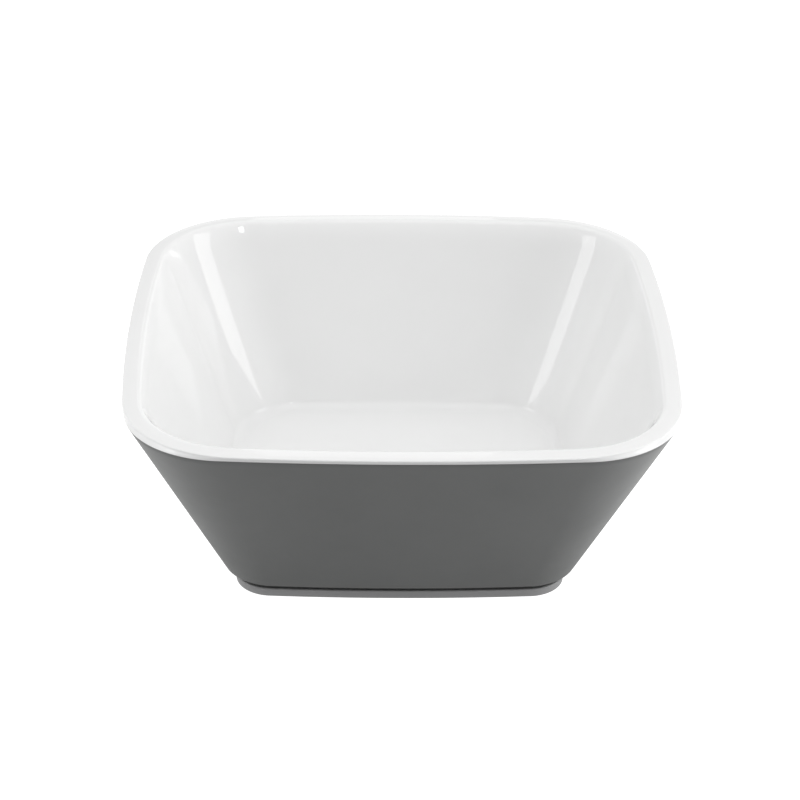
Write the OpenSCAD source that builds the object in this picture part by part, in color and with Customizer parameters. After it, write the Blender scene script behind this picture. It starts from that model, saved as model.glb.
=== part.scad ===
// Square two-tone serving bowl: a glossy white inner bowl with a rounded rim,
// a matte grey outer shell bonded around it and a lighter grey foot ring pressed
// onto a short neck on the underside. Millimetres, +Z up, resting on Z = 0, centred on the Z axis.

/* [Overall] */
// Width across the rim at the middle of a side
rim_width = 240; // [180:1:300]
// Total height from the table to the top of the rim
total_height = 96; // [70:1:130]
// Plan corner radius of the rim, outside
rim_corner_r = 51.1; // [40:0.1:65]
// Radius of the gentle outward bow of the rim sides
rim_bow_r = 984; // [500:1:3000]

/* [Rim] */
// Width of the rim lip from its inner edge to its outer edge
rim_lip = 8.1; // [5:0.1:12]
// Radius of the rounded outer edge of the rim
rim_outer_r = 1.2; // [0.5:0.1:1.6]
// Radius of the rounded inner edge of the rim
rim_inner_r = 4; // [1:0.1:5]
// Height of the white band that shows above the grey shell
rim_band = 2.8; // [2:0.1:6]
// How far the seam sits inside the rim at the middle of a side
seam_inset = 1; // [0.4:0.1:2]
// Plan corner radius of the seam between white and grey
seam_corner_r = 43.7; // [30:0.1:55]
// Radius of the gentle bow of the seam sides
seam_bow_r = 1154; // [500:1:3000]

/* [Interior] */
// Height of the interior floor above the table
floor_z = 13; // [12:0.1:20]
// Half width of the flat interior floor
floor_half = 72; // [62:0.1:74.5]
// Plan corner radius of the flat interior floor
floor_corner_r = 26.6; // [18:0.1:40]
// Radius of the gentle bow of the floor sides
floor_bow_r = 900; // [400:1:3000]
// Fillet radius between the interior floor and the wall
floor_fillet_r = 6.5; // [3:0.1:9]
// Thickness of the white floor
white_floor = 2; // [1.2:0.1:4]

/* [Outer shell] */
// Half width of the wall at its lower end
base_half = 79; // [78.3:0.1:88]
// Plan corner radius of the wall at its lower end
base_corner_r = 22.4; // [14:0.1:24]
// Radius of the gentle bow of the wall sides at the lower end
base_bow_r = 876; // [600:1:3000]
// Height of the lower end of the straight wall
base_z = 9.3; // [8.5:0.1:10.5]
// Radius of the rounded lower edge of the wall
base_round_r = 2.8; // [1:0.1:4]

/* [Foot ring] */
// Half width of the foot at the table
foot_half = 73.6; // [55:0.1:90]
// Height of the foot ring
foot_h = 4; // [3:0.1:5]
// Outward taper of the foot from the table to its top
foot_taper = 0.4; // [0:0.1:1]
// How far the shell's neck stands in from the foot's outer face
neck_step = 1.3; // [0.8:0.1:2]
// Plan corner radius of the foot
foot_corner_r = 16.1; // [15.2:0.1:24]
// Radius of the gentle bow of the foot sides
foot_bow_r = 952; // [600:1:1500]
// Width of the foot ring from its outer to its inner face
foot_width = 7.5; // [4:0.1:12]
// Radius of the rounded lower edges of the foot
foot_round_r = 0.8; // [0.3:0.1:2]
// Depth of the groove in the foot that the neck is pressed into
foot_seat = 0.8; // [0.3:0.1:1.5]

/* [Hidden] */
a0 = rim_width / 2;                    // half width of the rim
seam_z = total_height - rim_band;      // where white meets grey on the outside
ns = 12;                               // steps along one bowed side
nc = 18;                               // steps round one corner
fn_ring = 4 * (ns + nc);               // points in one ring

// which sub-part to draw

// ---- plan curve: rounded square with slightly bowed sides -------------------
// h half width at mid side, r corner radius, b bow radius
function corner_c(h, r, b) =
    let (k = h - b, q = k * k - (b - r) * (b - r)) (2 * k + sqrt(4 * k * k - 8 * q)) / 4;
function turn(p, t) = [p[0] * cos(t) - p[1] * sin(t), p[0] * sin(t) + p[1] * cos(t)];
function quarter(h, r, b) =
    let (c = corner_c(h, r, b), k = h - b, f = atan2(c, c - k))
    concat(
        [for (i = [0 : ns - 1]) let (t = -f + 2 * f * i / ns) [k + b * cos(t), b * sin(t)]],
        [for (i = [0 : nc - 1]) let (t = f + (90 - 2 * f) * i / nc) [c + r * cos(t), c + r * sin(t)]]);
function plan(h, r, b) = let (q = quarter(h, r, b)) [for (s = [0 : 3]) for (p = q) turn(p, 90 * s)];
// one ring = [h, r, b, z]; a parallel offset d keeps the same centres
function grow(g, d, z) = [g[0] + d, g[1] + d, g[2] + d, z];
function ring3(g) = [for (p = plan(g[0], g[1], g[2])) [p[0], p[1], g[3]]];

// ---- skins ------------------------------------------------------------------
function band_faces(i, k, n) = [for (j = [0 : n - 1]) let (m = (j + 1) % n)
    each [[i * n + j, i * n + m, k * n + m], [i * n + j, k * n + m, k * n + j]]];
// closed cup skin: starts at the centre of the upper floor, ends at the centre below
module cup(rings) {
    n = fn_ring; N = len(rings);
    pts = concat([for (g = rings) each ring3(g)], [[0, 0, rings[0][3]], [0, 0, rings[N - 1][3]]]);
    faces = concat(
        [for (j = [0 : n - 1]) [N * n, (j + 1) % n, j]],
        [for (i = [0 : N - 2]) each band_faces(i, i + 1, n)],
        [for (j = [0 : n - 1]) [N * n + 1, (N - 1) * n + j, (N - 1) * n + (j + 1) % n]]);
    polyhedron(points = pts, faces = faces, convexity = 6);
}
// closed loop skin for a ring-shaped solid
module loop(rings) {
    n = fn_ring; N = len(rings);
    polyhedron(points = [for (g = rings) each ring3(g)],
        faces = [for (i = [0 : N - 1]) each band_faces(i, (i + 1) % N, n)], convexity = 6);
}

// ---- profiles ---------------------------------------------------------------
rim_out = [a0, rim_corner_r, rim_bow_r, total_height];
floor_ring = [floor_half, floor_corner_r, floor_bow_r, floor_z];
// interior: floor, fillet, wall, inner edge of the rim
fillet_turn = 66.7; // the wall leans 23.3 degrees from upright
function fillet(t) = grow(floor_ring, floor_fillet_r * sin(t), floor_z + floor_fillet_r * (1 - cos(t)));
in_bot = fillet(fillet_turn);
in_lean = atan2(a0 - rim_lip - in_bot[0], total_height - in_bot[3]);
in_back = rim_inner_r * tan((90 - in_lean) / 2);   // from the sharp edge to the flat top
function in_round(t) = grow(rim_out, -rim_lip + in_back - rim_inner_r * cos(t),
    total_height - rim_inner_r * (1 - sin(t)));
in_edge = [for (i = [0 : 5]) in_round(in_lean + (90 - in_lean) * i / 5)];
out_edge = [for (t = [90, 67.5, 45, 22.5, 0]) grow(rim_out, -rim_outer_r + rim_outer_r * cos(t),
    total_height - 0.2 - rim_outer_r + rim_outer_r * sin(t))];
interior = concat([for (t = [0, 16.8, 33.6, 50.4]) fillet(t)], [in_bot], in_edge, out_edge);

// joint surface between white and grey
seam_g = [a0 - seam_inset, seam_corner_r, seam_bow_r, seam_z];
j_top = grow(rim_out, -4.1, seam_z);
j_floor_z = floor_z - white_floor;
j_floor = [floor_half + 0.4, floor_corner_r - 1.5, floor_bow_r, j_floor_z];
function j_fillet(t) = grow(j_floor, 7.4 * sin(t), j_floor_z + 7.4 * (1 - cos(t)));
joint_up = concat([for (t = [0, 21.5, 43, 64.5]) j_fillet(t)], [j_top]);
joint_down = [for (i = [len(joint_up) - 1 : -1 : 0]) joint_up[i]];

// outside of the shell: a fine groove under the seam, the straight wall, the round
// lower edge that meets the flat underside
wall_bot = [base_half, base_corner_r, base_bow_r, base_z];
lean = atan2(seam_g[0] - base_half, seam_z - base_z);
underside_z = base_z - base_round_r * (1 - sin(lean));
function under(t) = grow(wall_bot, base_round_r * (cos(t) - cos(lean)),
    base_z + base_round_r * (sin(lean) - sin(t)));
shell_out = concat([grow(seam_g, -0.2, seam_z), grow(seam_g, -0.1, seam_z - 0.2), wall_bot],
    [for (i = [1 : 4]) under(lean + (90 - lean) * i / 4)]);

// foot, and the short neck of the shell that is pressed into its top
foot_g = [foot_half, foot_corner_r, foot_bow_r, 0];
foot_in = grow(foot_g, -foot_width, 0);
neck_out = grow(foot_g, -neck_step, 0);
neck_in = grow(foot_in, neck_step, 0);
neck_z = foot_h - foot_seat;

// ---- parts ------------------------------------------------------------------
module inner_bowl() {
    color([0.93, 0.93, 0.92]) cup(concat(interior, [grow(seam_g, 0, seam_z + 0.2),
        grow(seam_g, -0.2, seam_z)], joint_down));
}

module outer_shell() {
    color([0.30, 0.30, 0.30]) cup(concat(joint_up, shell_out, [
        grow(neck_out, 0, underside_z), grow(neck_out, 0, neck_z),
        grow(neck_in, 0, neck_z), grow(neck_in, 0, underside_z)]));
}

module foot_ring() {
    r = foot_round_r;
    color([0.42, 0.42, 0.42]) intersection() {
        loop(concat(
            [grow(neck_out, 0, foot_h), grow(foot_g, foot_taper - 0.5, foot_h),
                grow(foot_g, foot_taper - 0.15, foot_h - 0.15), grow(foot_g, foot_taper, foot_h - 0.5)],
            [for (t = [0, 30, 60, 90]) grow(foot_g, -r * (1 - cos(t)), r * (1 - sin(t)))],
            [grow(foot_g, -r, -2), grow(foot_in, r, -2)],
            [for (t = [90, 60, 30, 0]) grow(foot_in, r * (1 - cos(t)), r * (1 - sin(t)))],
            [grow(foot_in, 0, foot_h - 0.4), grow(foot_in, 0.4, foot_h),
                grow(neck_in, 0, foot_h), grow(neck_in, 0, neck_z), grow(neck_out, 0, neck_z)]));
        translate([-150, -150, 0]) cube([300, 300, 40]);
    }
}

inner_bowl();
outer_shell();
foot_ring();
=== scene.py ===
import math

import bpy
from mathutils import Matrix, Vector


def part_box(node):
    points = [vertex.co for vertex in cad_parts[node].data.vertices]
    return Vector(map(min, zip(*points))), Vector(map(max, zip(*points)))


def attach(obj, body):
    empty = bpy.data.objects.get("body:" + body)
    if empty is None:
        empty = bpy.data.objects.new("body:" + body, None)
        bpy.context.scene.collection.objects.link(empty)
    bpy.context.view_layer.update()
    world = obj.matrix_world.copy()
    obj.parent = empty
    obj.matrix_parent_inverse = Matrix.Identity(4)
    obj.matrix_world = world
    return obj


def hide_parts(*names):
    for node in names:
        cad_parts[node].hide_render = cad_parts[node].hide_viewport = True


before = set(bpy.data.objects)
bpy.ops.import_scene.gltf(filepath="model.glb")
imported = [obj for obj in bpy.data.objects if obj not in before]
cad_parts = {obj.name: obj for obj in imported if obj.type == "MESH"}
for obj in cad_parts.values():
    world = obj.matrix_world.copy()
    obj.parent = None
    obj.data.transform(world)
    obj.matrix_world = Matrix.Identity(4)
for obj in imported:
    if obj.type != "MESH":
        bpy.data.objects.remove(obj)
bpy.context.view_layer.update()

MM = 0.001
LOW, HIGH = (tuple(float(c) for c in p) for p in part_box("inner_bowl"))
A0 = (HIGH[0] - LOW[0]) / 2 / MM          # half width of the rim, mm
H = HIGH[2] / MM                          # height of the rim, mm

# ---------------------------------------------------------------------------
# plan curve: a rounded square whose sides bow out slightly
# ---------------------------------------------------------------------------
NS, NC = 44, 64                            # steps along a side and round a corner
NQ = NS + NC
N = 4 * NQ


def corner_c(h, r, b):
    k = h - b
    q = k * k - (b - r) * (b - r)
    return (2 * k + math.sqrt(4 * k * k - 8 * q)) / 4


def plan(h, r, b):
    c = corner_c(h, r, b)
    k = h - b
    f = math.atan2(c, c - k)
    quarter = []
    for i in range(NS):
        t = -f + 2 * f * i / NS
        quarter.append((k + b * math.cos(t), b * math.sin(t)))
    for i in range(NC):
        t = f + (math.pi / 2 - 2 * f) * i / NC
        quarter.append((c + r * math.cos(t), c + r * math.sin(t)))
    out = []
    for s in range(4):
        co, si = (1, 0, -1, 0)[s], (0, 1, 0, -1)[s]
        out += [(x * co - y * si, x * si + y * co) for x, y in quarter]
    return out


def grow(g, d, z):
    return (g[0] + d, g[1] + d, g[2] + d, z)


def ring_points(g):
    return [(x, y, g[3]) for x, y in plan(g[0], g[1], g[2])]


def between(g0, g1, n):
    """n - 1 rings on the straight wall between two rings, point to point."""
    p0, p1 = ring_points(g0), ring_points(g1)
    rows = []
    for i in range(1, n):
        t = i / n
        rows.append([tuple(a + (b - a) * t for a, b in zip(u, v)) for u, v in zip(p0, p1)])
    return rows


def rows_of(items):
    rows = []
    for it in items:
        rows.append(ring_points(it) if isinstance(it, tuple) else it)
    return rows


def make_mesh(name, rows, caps):
    """A skin through rows of N points. caps: close the first and last row over the
    middle; otherwise the last row joins the first, which makes a ring."""
    verts = [tuple(c * MM for c in p) for row in rows for p in row]
    faces = []
    R = len(rows)
    pairs = [(i, i + 1) for i in range(R - 1)]
    if not caps:
        pairs.append((R - 1, 0))
    for i, k in pairs:
        for j in range(N):
            m = (j + 1) % N
            faces.append((i * N + j, k * N + j, k * N + m, i * N + m))
    if caps:
        # shrinking rings and a centre fan fill the flat floors, so they shade cleanly
        for row, up in ((0, True), (R - 1, False)):
            faces += fill(verts, [row * N + j for j in range(N)], rows[row][0][2] * MM, up)
    me = bpy.data.meshes.new(name)
    me.from_pydata(verts, [], faces)
    me.update()
    me.validate()
    for p in me.polygons:
        p.use_smooth = True
    ob = bpy.data.objects.new(name, me)
    bpy.context.scene.collection.objects.link(ob)
    return ob


def fill(verts, loop, z, up):
    """Rings that shrink towards the middle, then a fan: flat, so every face is true."""
    faces = []
    edge = [verts[i] for i in loop]
    last = loop
    for s in (0.9, 0.7, 0.45, 0.2):
        start = len(verts)
        verts += [(x * s, y * s, z) for x, y, _ in edge]
        cur = [start + j for j in range(len(loop))]
        for j in range(len(loop)):
            m = (j + 1) % len(loop)
            q = (last[j], last[m], cur[m], cur[j])
            faces.append(q if up else tuple(reversed(q)))
        last = cur
    mid = len(verts)
    verts.append((0.0, 0.0, z))
    for j in range(len(loop)):
        m = (j + 1) % len(loop)
        faces.append((last[j], last[m], mid) if up else (last[m], last[j], mid))
    return faces


def arc(n, a, b):
    return [math.radians(a + (b - a) * i / n) for i in range(n + 1)]


# ---------------------------------------------------------------------------
# shapes, in mm, the same driving sizes as the CAD model
# ---------------------------------------------------------------------------
RIM = (A0, 51.1, 984.0, H)
SEAM = H - 2.8
SEAM_G = (A0 - 1.0, 43.7, 1154.0, SEAM)
FLOOR_Z = 13.0
FLOOR = (72.0, 26.6, 900.0, FLOOR_Z)
FILLET = 6.5
LIP = 8.1
RO = 0.7


def inner_rows():
    turn = 66.7
    items = [grow(FLOOR, FILLET * math.sin(t), FLOOR_Z + FILLET * (1 - math.cos(t))) for t in arc(16, 0, turn)]
    in_bot = items[-1]
    # straight wall, a gentle flare in its last few millimetres, then the rounded inner
    # edge of the rim. Each line up the wall keeps its own lean, so the corners stay smooth.
    foot_line = ring_points(in_bot)
    edge_line = ring_points(grow(RIM, -LIP - 0.3, H))
    walls, flare, edge = [[] for _ in range(26)], [[] for _ in range(9)], [[] for _ in range(9)]
    for b, s in zip(foot_line, edge_line):
        dx, dy = s[0] - b[0], s[1] - b[1]
        run = math.hypot(dx, dy)
        ux, uy = dx / run, dy / run
        lean = math.atan2(run, s[2] - b[2])
        # the wall is very slightly hollow, so it starts flatter and ends steeper
        sag = 0.8
        lean = math.atan(math.tan(lean) - 4 * sag / (s[2] - b[2]))
        mid = lean + math.radians(11.0)
        r1, r2 = 38.0, 3.0
        z0 = H - r1 * (math.sin(mid) - math.sin(lean)) - r2 * (1 - math.sin(mid))
        d0 = run - (run / (s[2] - b[2])) * (H - z0) + 0.1
        for i, row in enumerate(walls):
            t = (i + 1) / len(walls)
            d = d0 * t + 4 * sag * t * (1 - t)
            row.append((b[0] + ux * d, b[1] + uy * d, b[2] + (z0 - b[2]) * t))
        for i, row in enumerate(flare):
            t = lean + (mid - lean) * (i + 1) / len(flare)
            d, z = d0 + r1 * (math.cos(lean) - math.cos(t)), z0 + r1 * (math.sin(t) - math.sin(lean))
            row.append((b[0] + ux * d, b[1] + uy * d, z))
        for i, row in enumerate(edge):
            q = mid + (math.pi / 2 - mid) * (i + 1) / len(edge)
            row.append((b[0] + ux * (d + r2 * (math.cos(mid) - math.cos(q))),
                        b[1] + uy * (d + r2 * (math.cos(mid) - math.cos(q))), z + r2 * (math.sin(q) - math.sin(mid))))
    items += walls + flare + edge
    # slightly crowned top, then the outer edge
    top = edge[-1]
    out = grow(RIM, -RO, H - 0.42)
    for k in range(1, 6):
        t = k / 6
        items.append([(a[0] + (b[0] - a[0]) * t, a[1] + (b[1] - a[1]) * t, H - 0.42 * t ** 2)
                      for a, b in zip(top, ring_points(out))])
    for t in arc(10, 78, 0):
        items.append(grow(RIM, -RO + RO * math.cos(t), H - 0.42 - RO + RO * math.sin(t)))
    # the outer face runs down to the seam, whose corners are sharper than the rim's
    items += between(items[-1], grow(SEAM_G, 0, SEAM + 0.2), 4)
    for t in arc(3, 0, 90):
        items.append(grow(SEAM_G, -0.2 * (1 - math.cos(t)), SEAM + 0.2 - 0.2 * math.sin(t)))
    items.append(grow(RIM, -4.15, SEAM))
    jf = (72.4, 25.1, 900.0, FLOOR_Z - 2.0 + 0.03)
    items.append(grow(jf, 7.4 * math.sin(math.radians(64.5)) - 0.05, jf[3] + 7.4 * (1 - math.cos(math.radians(64.5)))))
    for t in (43, 21.5, 0):
        t = math.radians(t)
        items.append(grow(jf, 7.4 * math.sin(t) - 0.05, jf[3] + 7.4 * (1 - math.cos(t))))
    return rows_of(items)


WALL_BOT = (79.0, 22.4, 876.0, 9.3)
LEAN = math.atan2(SEAM_G[0] - WALL_BOT[0], SEAM - WALL_BOT[3])
RB = 2.8
UNDER = WALL_BOT[3] - RB * (1 - math.sin(LEAN))


def shell_rows():
    jf = (72.4, 25.1, 900.0, FLOOR_Z - 2.0)
    items = [grow(jf, 7.4 * math.sin(math.radians(t)), jf[3] + 7.4 * (1 - math.cos(math.radians(t)))) for t in (0, 21.5, 43, 64.5)]
    items.append(grow(RIM, -4.1, SEAM - 0.02))
    # a fine groove under the seam, then the straight wall
    items.append(grow(SEAM_G, -0.25, SEAM - 0.02))
    top = grow(SEAM_G, -0.1, SEAM - 0.2)
    items.append(top)
    items += between(top, WALL_BOT, 34)
    # round lower edge
    for t in arc(10, math.degrees(LEAN), 90):
        items.append(grow(WALL_BOT, RB * (math.cos(t) - math.cos(LEAN)), WALL_BOT[3] + RB * (math.sin(LEAN) - math.sin(t))))
    # the short neck that the foot ring is pressed onto
    items.append(grow(FOOT, -0.7, UNDER))
    for t in arc(3, 90, 0):
        items.append(grow(FOOT, -1.0 + 0.3 * (1 - math.sin(t)), UNDER - 0.3 * (1 - math.cos(t))))
    items.append(grow(FOOT, -1.0, 3.25))
    items.append(grow(FOOT, -6.2, 3.25))
    items.append(grow(FOOT, -6.2, UNDER))
    return rows_of(items)


FOOT = (73.6, 16.1, 952.0, 0.0)


def foot_rows():
    inn = grow(FOOT, -7.5, 0.0)
    r, rt, top, taper = 0.8, 0.5, 4.2, 0.4
    items = [grow(FOOT, -1.02, top)]
    for t in arc(6, 90, 0):
        items.append(grow(FOOT, taper - rt * (1 - math.cos(t)), top - rt * (1 - math.sin(t))))
    for i in range(1, 6):
        z = top - rt + (r - top + rt) * i / 6
        items.append(grow(FOOT, taper * (z - r) / (top - rt - r), z))
    for t in arc(8, 0, 90):
        items.append(grow(FOOT, -r * (1 - math.cos(t)), r * (1 - math.sin(t))))
    for t in arc(8, 90, 0):
        items.append(grow(inn, r * (1 - math.cos(t)), r * (1 - math.sin(t))))
    for t in arc(5, 0, 90):
        items.append(grow(inn, 0.4 * (1 - math.cos(t)), top - 0.4 + 0.4 * math.sin(t)))
    items.append(grow(FOOT, -6.18, top))
    items.append(grow(FOOT, -6.18, 3.22))
    items.append(grow(FOOT, -1.02, 3.22))
    return rows_of(items)


bowl = make_mesh("inner_bowl_body", inner_rows(), True)
shell = make_mesh("outer_shell_body", shell_rows(), True)
foot = make_mesh("foot_ring_body", foot_rows(), False)

for ob, node, slot in ((bowl, "inner_bowl", "white_gloss"), (shell, "outer_shell", "grey_matte"), (foot, "foot_ring", "foot_grey")):
    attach(ob, "root")
    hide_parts(node)


# ---------------------------------------------------------------------------
# materials
# ---------------------------------------------------------------------------
def new_material(name):
    m = bpy.data.materials.new(name)
    m.use_nodes = True
    nt = m.node_tree
    for n in list(nt.nodes):
        nt.nodes.remove(n)
    out = nt.nodes.new("ShaderNodeOutputMaterial")
    bsdf = nt.nodes.new("ShaderNodeBsdfPrincipled")
    nt.links.new(bsdf.outputs["BSDF"], out.inputs["Surface"])
    return m, nt, bsdf


def noise(nt, vec, scale, detail=2.0, rough=0.5):
    n = nt.nodes.new("ShaderNodeTexNoise")
    n.inputs["Scale"].default_value = scale
    n.inputs["Detail"].default_value = detail
    n.inputs["Roughness"].default_value = rough
    nt.links.new(vec, n.inputs["Vector"])
    return n.outputs["Fac"]


def remap(nt, fac, lo, hi, a=0.3, b=0.7):
    n = nt.nodes.new("ShaderNodeMapRange")
    n.inputs["From Min"].default_value = a
    n.inputs["From Max"].default_value = b
    n.inputs["To Min"].default_value = lo
    n.inputs["To Max"].default_value = hi
    nt.links.new(fac, n.inputs["Value"])
    return n.outputs["Result"]


def two_colours(nt, fac, c0, c1):
    n = nt.nodes.new("ShaderNodeMix")
    n.data_type = "RGBA"
    n.inputs["A"].default_value = (*c0, 1)
    n.inputs["B"].default_value = (*c1, 1)
    nt.links.new(fac, n.inputs["Factor"])
    return n.outputs["Result"]


def bump(nt, height, strength, distance, normal=None):
    n = nt.nodes.new("ShaderNodeBump")
    n.inputs["Strength"].default_value = strength
    n.inputs["Distance"].default_value = distance
    nt.links.new(height, n.inputs["Height"])
    if normal is not None:
        nt.links.new(normal, n.inputs["Normal"])
    return n.outputs["Normal"]


def white_gloss():
    m, nt, b = new_material("white_gloss_melamine")
    tc = nt.nodes.new("ShaderNodeTexCoord").outputs["Object"]
    cloud = noise(nt, tc, 22.0, 3.0)
    col = two_colours(nt, remap(nt, cloud, 0.0, 1.0), WHITE_A, WHITE_B)
    nt.links.new(col, b.inputs["Base Color"])
    smear = noise(nt, tc, 60.0, 4.0, 0.6)
    nt.links.new(remap(nt, smear, 0.03, 0.05), b.inputs["Roughness"])
    b.inputs["IOR"].default_value = 1.5
    n1 = bump(nt, noise(nt, tc, 130.0, 1.0), 0.25, 0.00003)
    n2 = bump(nt, noise(nt, tc, 900.0, 2.0), 0.08, 0.00001, n1)
    nt.links.new(n2, b.inputs["Normal"])
    return m


def matte_grey(name, c0, c1, rough):
    m, nt, b = new_material(name)
    tc = nt.nodes.new("ShaderNodeTexCoord").outputs["Object"]
    cloud = noise(nt, tc, 18.0, 4.0, 0.6)
    col = two_colours(nt, remap(nt, cloud, 0.0, 1.0), c0, c1)
    nt.links.new(col, b.inputs["Base Color"])
    smear = noise(nt, tc, 45.0, 4.0, 0.6)
    nt.links.new(remap(nt, smear, rough - 0.03, rough + 0.04), b.inputs["Roughness"])
    b.inputs["IOR"].default_value = 1.5
    n1 = bump(nt, noise(nt, tc, 1700.0, 2.0, 0.6), 0.35, 0.00006)
    n2 = bump(nt, noise(nt, tc, 420.0, 2.0), 0.10, 0.00008, n1)
    nt.links.new(n2, b.inputs["Normal"])
    return m


WHITE_A, WHITE_B = (0.855, 0.857, 0.855), (0.87, 0.872, 0.87)
bowl.data.materials.append(white_gloss())
shell.data.materials.append(matte_grey("grey_matte_melamine", (0.150, 0.154, 0.1525), (0.164, 0.168, 0.1665), 0.42))
foot.data.materials.append(matte_grey("grey_foot_ring", (0.345, 0.345, 0.349), (0.375, 0.375, 0.379), 0.34))

# ---------------------------------------------------------------------------
# stage: one pale floor, which also glows: a painted glow that lights the bowl from below and at the sides
# ---------------------------------------------------------------------------
me = bpy.data.meshes.new("floor")
S = 6.0
me.from_pydata([(-S, -S, -0.0002), (S, -S, -0.0002), (S, S, -0.0002), (-S, S, -0.0002)], [], [(0, 1, 2, 3)])
floor = bpy.data.objects.new("floor", me)
GLOW_MID, GLOW_SIDE, GLOW_NEAR = 0.03, 1.3, 0.27
bpy.context.scene.collection.objects.link(floor)
m, nt, b = new_material("floor_glowing_white")
b.inputs["Base Color"].default_value = (0.33, 0.33, 0.33, 1)
b.inputs["Roughness"].default_value = 0.6
b.inputs["Specular IOR Level"].default_value = 0.0
b.inputs["Emission Color"].default_value = (1, 1, 1, 1)
# painted glow seen only by camera rays: 0.75 more on top of the floor's own glow, so the floor looks uniformly white
# while lighting the bowl less
lp = nt.nodes.new("ShaderNodeLightPath")
lift = nt.nodes.new("ShaderNodeMath")
lift.operation = "MULTIPLY_ADD"
lift.inputs[1].default_value = 0.75
nt.links.new(lp.outputs["Is Camera Ray"], lift.inputs[0])
# painted glow: the floor itself emits light under the bowl and at both sides, and hardly at all in front, so it lights
# the bowl's lower wall, corners and foot from below
where = nt.nodes.new("ShaderNodeTexCoord").outputs["Object"]
part = nt.nodes.new("ShaderNodeSeparateXYZ")
nt.links.new(where, part.inputs["Vector"])
off = nt.nodes.new("ShaderNodeMath")
off.operation = "ABSOLUTE"
nt.links.new(part.outputs["X"], off.inputs[0])
side = remap(nt, off.outputs["Value"], GLOW_MID, GLOW_SIDE, 0.06, 0.29)
tilt = remap(nt, part.outputs["X"], 0.8, 1.3, -0.3, 0.3)
painted_floor_glow = nt.nodes.new("ShaderNodeMath")
painted_floor_glow.operation = "MULTIPLY_ADD"
away = nt.nodes.new("ShaderNodeVectorMath")
away.operation = "LENGTH"
nt.links.new(where, away.inputs[0])
near = remap(nt, away.outputs["Value"], GLOW_NEAR, 0.0, 0.13, 0.32)
front = remap(nt, part.outputs["Y"], 0.2, 1.0, -0.36, -0.02)
held = nt.nodes.new("ShaderNodeMath")
held.operation = "MULTIPLY"
nt.links.new(tilt, held.inputs[0])
nt.links.new(front, held.inputs[1])
nt.links.new(side, painted_floor_glow.inputs[0])
nt.links.new(held.outputs["Value"], painted_floor_glow.inputs[1])
nt.links.new(near, painted_floor_glow.inputs[2])
nt.links.new(painted_floor_glow.outputs["Value"], lift.inputs[2])
nt.links.new(lift.outputs["Value"], b.inputs["Emission Strength"])
me.materials.append(m)
WORLD, WORLD_FRONT = 0.87, 0.02


# ---------------------------------------------------------------------------
# light
# ---------------------------------------------------------------------------
def toward(az, el):
    """Unit vector: az in degrees from +Y towards +X, el in degrees above the table."""
    az, el = math.radians(az), math.radians(el)
    return Vector((math.sin(az) * math.cos(el), math.cos(az) * math.cos(el), math.sin(el)))


def area(name, az, el, dist, width, height, level, aim=(0, 0, 0.09)):
    """A soft box whose surface shines at the given level (1 is the white of the room).
    Width and height are in degrees, as seen from the point it is aimed at."""
    d = toward(az, el)
    w = 2 * dist * math.tan(math.radians(width / 2))
    h = 2 * dist * math.tan(math.radians(height / 2))
    la = bpy.data.lights.new(name, "AREA")
    la.shape = "RECTANGLE"
    la.size, la.size_y = w, h
    la.energy = level * math.pi * w * h
    o = bpy.data.objects.new(name, la)
    bpy.context.scene.collection.objects.link(o)
    o.location = Vector(aim) + d * dist
    z_axis = d
    x_axis = Vector((0, 0, 1)).cross(z_axis).normalized()
    y_axis = z_axis.cross(x_axis)
    m = Matrix((x_axis, y_axis, z_axis)).transposed().to_4x4()
    m.translation = o.location
    o.matrix_world = m
    return o


world = bpy.data.worlds.new("studio")
bpy.context.scene.world = world
world.use_nodes = True
bg = world.node_tree.nodes["Background"]
wt = world.node_tree
bg.inputs["Color"].default_value = (1, 1, 1, 1)
# the room is white overhead, behind and at the sides, and dimmer low down in front
look = wt.nodes.new("ShaderNodeTexCoord").outputs["Generated"]
dot = wt.nodes.new("ShaderNodeVectorMath")
dot.operation = "DOT_PRODUCT"
dot.inputs[1].default_value = (-0.18, -0.84, -0.51)
wt.links.new(look, dot.inputs[0])
ahead = remap(wt, dot.outputs["Value"], WORLD, WORLD_FRONT, 0.14, 0.70)
# a dimmer patch behind the bowl, at the height that the flat of the rim mirrors
rear = wt.nodes.new("ShaderNodeVectorMath")
rear.operation = "DOT_PRODUCT"
wt.links.new(dot.inputs[0].links[0].from_socket, rear.inputs[0])
rear.inputs[1].default_value = (0.0, 0.88, 0.47)
patch = remap(wt, rear.outputs["Value"], 1.0, 0.62, 0.80, 0.94)
both = wt.nodes.new("ShaderNodeMath")
both.operation = "MULTIPLY"
wt.links.new(ahead, both.inputs[0])
wt.links.new(patch, both.inputs[1])
level = both.outputs["Value"]
wt.links.new(level, bg.inputs["Strength"])

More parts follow.
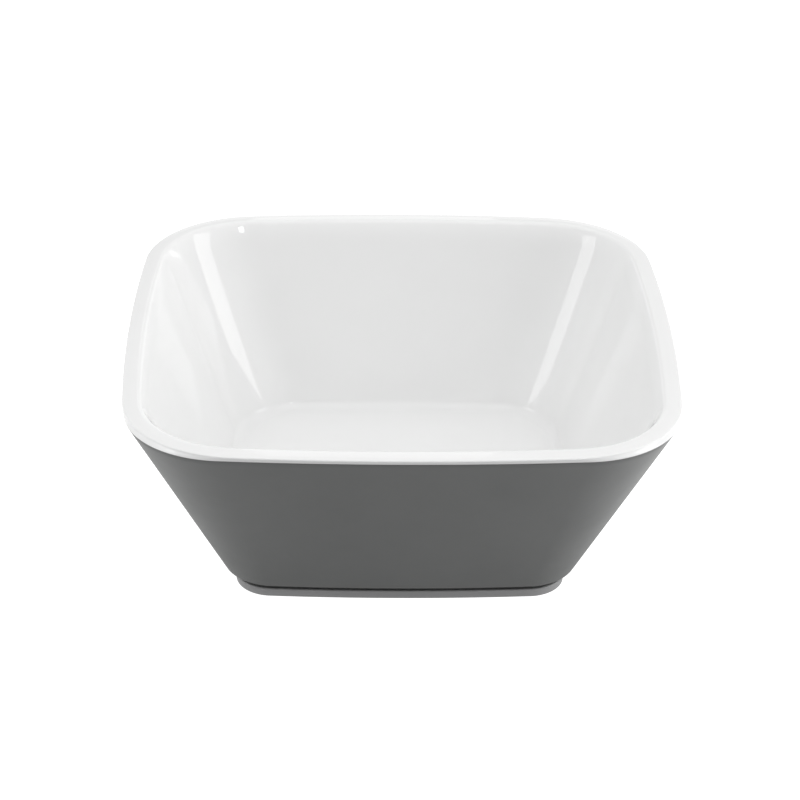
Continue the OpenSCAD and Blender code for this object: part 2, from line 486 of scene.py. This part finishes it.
# a tall soft box on each side and a small one in front
area("right_box", 101.0, 24.0, 1.3, 20.0, 26.0, 2.5, (-0.085, 0.085, 0.09))
area("left_box", -108.0, 24.0, 1.3, 17.0, 24.0, 2.3, (0.085, 0.085, 0.09))
area("front_box", 158.0, 36.0, 1.4, 5.5, 9.0, 11.0, (-0.07, 0.11, 0.09))
# a broad weak light high in front, and low strips at both sides and behind
area("front_high", 172.0, 68.0, 1.6, 60.0, 36.0, 0.6)
area("right_low", 112.0, 6.0, 1.5, 36.0, 11.0, 2.0)
area("left_low", -112.0, 6.0, 1.5, 36.0, 11.0, 1.0)
area("right_back", 57.0, 6.0, 1.5, 14.0, 10.0, 1.8, (-0.09, 0.08, 0.09))
area("back_low", 8.0, 9.0, 1.8, 80.0, 16.0, 0.4)
area("back_strip", 0.0, 30.0, 1.8, 9.0, 30.0, 0.6)

# ---------------------------------------------------------------------------
# camera
# ---------------------------------------------------------------------------
a = A0 * MM
e, yaw, roll = math.radians(28.43), math.radians(1.12), math.radians(-0.721)
D, dx, dy = 9.509 * a, -0.0018 * a, 0.2749 * a
R0 = Vector((1, 0, 0))
U0 = Vector((0, math.sin(e), math.cos(e)))
F0 = Vector((0, math.cos(e), -math.sin(e)))
C = -D * F0 - dx * R0 - dy * U0
right = R0 * math.cos(roll) - U0 * math.sin(roll)
up = R0 * math.sin(roll) + U0 * math.cos(roll)
turn = Matrix.Rotation(-yaw, 3, "Z")
C, right, up, fwd = turn @ C, turn @ right, turn @ up, turn @ F0
C = C + Vector((0, 0, H * MM))
cam_data = bpy.data.cameras.new("camera")
cam_data.sensor_width = 36.0
cam_data.lens = 2579.3 * 36.0 / 800.0
cam_data.clip_start, cam_data.clip_end = 0.05, 50.0
cam = bpy.data.objects.new("camera", cam_data)
bpy.context.scene.collection.objects.link(cam)
rot = Matrix((right, up, -fwd)).transposed()
cam.matrix_world = Matrix.Translation(C) @ rot.to_4x4()
bpy.context.scene.camera = cam

bpy.context.scene.view_settings.view_transform = "Standard"
bpy.context.scene.view_settings.look = "None"
